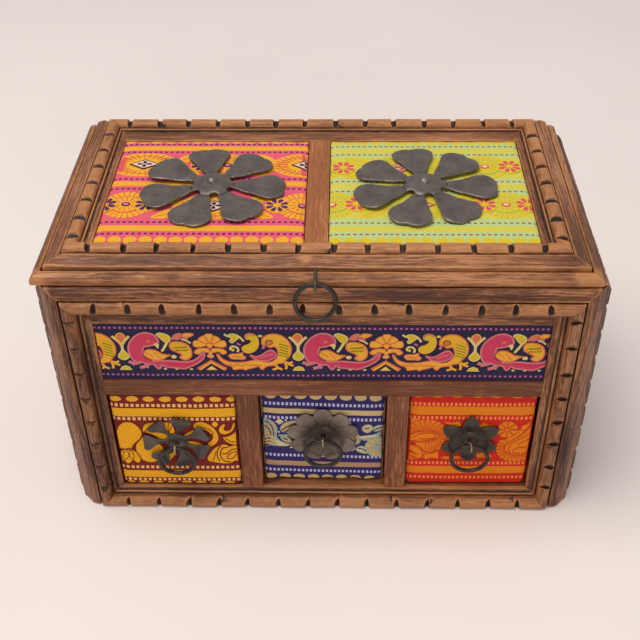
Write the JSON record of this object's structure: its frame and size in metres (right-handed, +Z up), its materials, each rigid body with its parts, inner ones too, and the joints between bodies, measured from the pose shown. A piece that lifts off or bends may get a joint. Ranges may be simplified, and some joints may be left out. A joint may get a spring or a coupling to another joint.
{
  "type": "carved wooden chest",
  "caption": "Small table chest of dark carved wood with a hinged padded lid, a row of drawers, notched mouldings, woven cloth panels and iron flowers with ring pulls.",
  "frame": {"origin": "centre of the case's footprint on the surface that it stands on", "axes": "+X to the right seen from the front, +Y to the back, +Z up; the front faces -Y"},
  "size_m": [0.263, 0.1481, 0.1578],
  "materials": {
    "case_wood": "worn dark stain",
    "drawer_wood": "bare wood",
    "black_iron": "blackened sheet and wire",
    "pink_brocade": "woven brocade",
    "lime_brocade": "woven brocade",
    "ribbon_brocade": "woven brocade ribbon",
    "maroon_brocade": "woven brocade",
    "indigo_brocade": "woven brocade",
    "red_brocade": "woven brocade"
  },
  "bodies": {
    "case": {"floor_board": "case_wood", "left_side_board": "case_wood", "right_side_board": "case_wood", "back_board": "case_wood", "front_panel": "case_wood", "shelf_board": "case_wood", "left_divider": "case_wood", "right_divider": "case_wood", "drawer_guides": "case_wood", "front_ribbon": "ribbon_brocade", "front_top_moulding": "case_wood", "front_left_moulding": "case_wood", "front_right_moulding": "case_wood", "front_foot_moulding": "case_wood", "left_side_rails": "case_wood", "left_side_stiles": "case_wood", "right_side_rails": "case_wood", "right_side_stiles": "case_wood", "hinge_case_leaves": "black_iron", "hinge_pins": "black_iron", "hinge_case_screws": "black_iron"},
    "lid": {"lid_front_moulding": "case_wood", "lid_right_moulding": "case_wood", "lid_left_moulding": "case_wood", "lid_back_moulding": "case_wood", "lid_board": "case_wood", "lid_centre_bar": "case_wood", "lid_left_pad": "pink_brocade", "lid_right_pad": "lime_brocade", "lid_left_flower": "black_iron", "lid_right_flower": "black_iron", "lid_flower_nails": "black_iron", "lid_ring_eye": "black_iron", "hinge_lid_leaves": "black_iron", "hinge_lid_screws": "black_iron"},
    "lid_pull": {"lid_ring": "black_iron"},
    "left_drawer": {"left_drawer_bottom": "drawer_wood", "left_drawer_front": "drawer_wood", "left_drawer_sides": "drawer_wood", "left_drawer_back": "drawer_wood", "left_drawer_facing": "maroon_brocade", "left_drawer_rosette": "black_iron", "left_drawer_pin": "black_iron"},
    "left_pull": {"left_drawer_ring": "black_iron"},
    "middle_drawer": {"middle_drawer_bottom": "drawer_wood", "middle_drawer_front": "drawer_wood", "middle_drawer_sides": "drawer_wood", "middle_drawer_back": "drawer_wood", "middle_drawer_facing": "indigo_brocade", "middle_drawer_rosette": "black_iron", "middle_drawer_pin": "black_iron"},
    "middle_pull": {"middle_drawer_ring": "black_iron"},
    "right_drawer": {"right_drawer_bottom": "drawer_wood", "right_drawer_front": "drawer_wood", "right_drawer_sides": "drawer_wood", "right_drawer_back": "drawer_wood", "right_drawer_facing": "red_brocade", "right_drawer_rosette": "black_iron", "right_drawer_pin": "black_iron"},
    "right_pull": {"right_drawer_ring": "black_iron"}
  },
  "joints": [
    {"name": "lid_hinge", "type": "hinge", "parent": "case", "child": "lid", "pos_m": [0, 0.0678, 0.14325], "axis": [-1, 0, 0], "range_deg": [0, 100]},
    {"name": "lid_ring_swing", "type": "hinge", "parent": "lid", "child": "lid_pull", "pos_m": [-0.0025, -0.074, 0.1481], "axis": [-1, 0, 0], "range_deg": [0, 110]},
    {"name": "left_drawer_slide", "type": "slide", "parent": "case", "child": "left_drawer", "axis": [0, -1, 0], "range_m": [-0.0038, 0.09]},
    {"name": "left_ring_swing", "type": "hinge", "parent": "left_drawer", "child": "left_pull", "pos_m": [-0.0738, -0.0754, 0.04525], "axis": [-1, 0, 0], "range_deg": [-8, 100]},
    {"name": "middle_drawer_slide", "type": "slide", "parent": "case", "child": "middle_drawer", "axis": [0, -1, 0], "range_m": [0, 0.09]},
    {"name": "middle_ring_swing", "type": "hinge", "parent": "middle_drawer", "child": "middle_pull", "pos_m": [0, -0.0716, 0.04705], "axis": [-1, 0, 0], "range_deg": [-8, 100]},
    {"name": "right_drawer_slide", "type": "slide", "parent": "case", "child": "right_drawer", "axis": [0, -1, 0], "range_m": [-0.002, 0.09]},
    {"name": "right_ring_swing", "type": "hinge", "parent": "right_drawer", "child": "right_pull", "pos_m": [0.0738, -0.0736, 0.04645], "axis": [-1, 0, 0], "range_deg": [-8, 100]}
  ]
}
